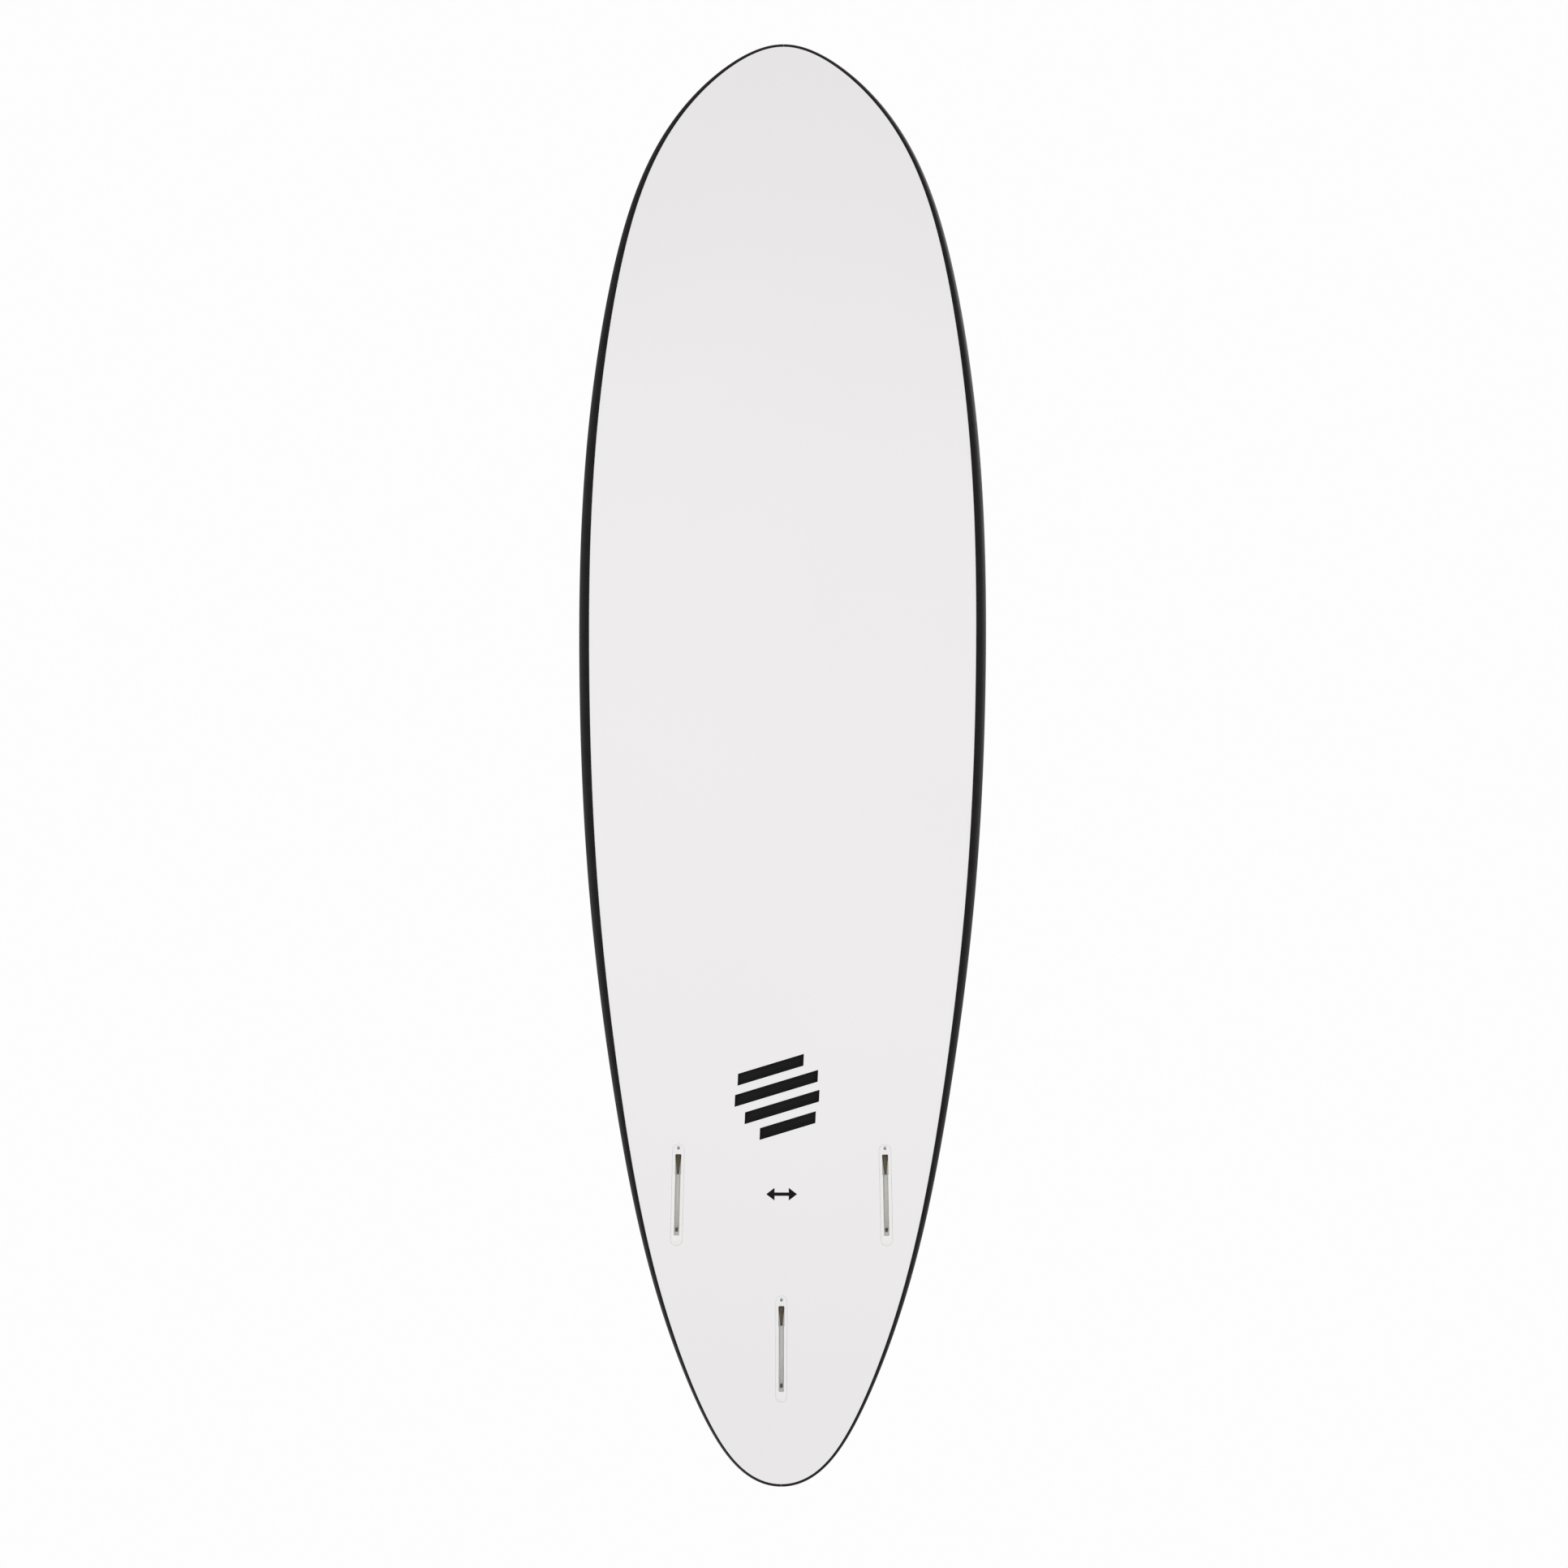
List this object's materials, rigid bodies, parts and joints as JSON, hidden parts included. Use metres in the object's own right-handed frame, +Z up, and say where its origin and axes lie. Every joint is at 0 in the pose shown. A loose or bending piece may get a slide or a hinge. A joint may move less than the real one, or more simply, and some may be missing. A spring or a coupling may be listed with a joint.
{
  "type": "surfboard",
  "caption": "Egg-shaped soft-deck surfboard with a slick bottom, a foam rail band, single-slot fin boxes without fins, a leash plug and an air vent",
  "frame": {"origin": "on the floor under the middle of the board, which lies on its rocker, deck up", "axes": "+X toward the nose, +Y to the rider's left, +Z up through the deck"},
  "size_m": [1.93, 0.544, 0.1267],
  "materials": {
    "slick_bottom": "smooth slick polyethylene, softly glossy",
    "deck_foam": "embossed closed-cell foam",
    "rail_foam": "satin black closed-cell foam",
    "laminate": "glass cloth in clear resin",
    "core_foam": "expanded polystyrene beads",
    "stringer_wood": "sanded plywood",
    "box_nylon": "milky white moulded nylon",
    "dense_foam": "high-density foam",
    "plug_plastic": "black moulded plastic",
    "vent_plastic": "black moulded plastic",
    "steel": "stainless steel",
    "seal_rubber": "soft rubber"
  },
  "bodies": {
    "board": {"bottom_skin": "slick_bottom", "deck_skin": "deck_foam", "rail_left": "rail_foam", "rail_right": "rail_foam", "bottom_laminate": "laminate", "deck_laminate": "laminate", "core_strip_left_outer": "core_foam", "core_strip_left_inner": "core_foam", "core_strip_right_inner": "core_foam", "core_strip_right_outer": "core_foam", "stringer_left": "stringer_wood", "stringer_centre": "stringer_wood", "stringer_right": "stringer_wood", "fin_box_left": "box_nylon", "fin_box_centre": "box_nylon", "fin_box_right": "box_nylon", "fin_block_left": "dense_foam", "fin_block_centre": "dense_foam", "fin_block_right": "dense_foam", "leash_cup": "plug_plastic", "leash_pin": "steel", "leash_block": "dense_foam", "vent_housing": "plug_plastic"},
    "fin_screw_left": {"fin_screw_left": "steel"},
    "fin_screw_centre": {"fin_screw_centre": "steel"},
    "fin_screw_right": {"fin_screw_right": "steel"},
    "vent_screw": {"vent_screw": "vent_plastic", "vent_seal": "seal_rubber"}
  },
  "joints": [
    {"name": "fin_screw_left_slide", "type": "slide", "parent": "board", "child": "fin_screw_left", "axis": [0.6646, -0.016, -0.7471], "range_m": [-0.002, 0.0025]},
    {"name": "fin_screw_centre_slide", "type": "slide", "parent": "board", "child": "fin_screw_centre", "axis": [0.6433, 0, -0.7656], "range_m": [-0.002, 0.0025]},
    {"name": "fin_screw_right_slide", "type": "slide", "parent": "board", "child": "fin_screw_right", "axis": [0.6646, 0.016, -0.7471], "range_m": [-0.002, 0.0025]},
    {"name": "vent_screw_slide", "type": "slide", "parent": "board", "child": "vent_screw", "axis": [-0.0376, 0, 0.9993], "range_m": [0, 0.008]}
  ]
}
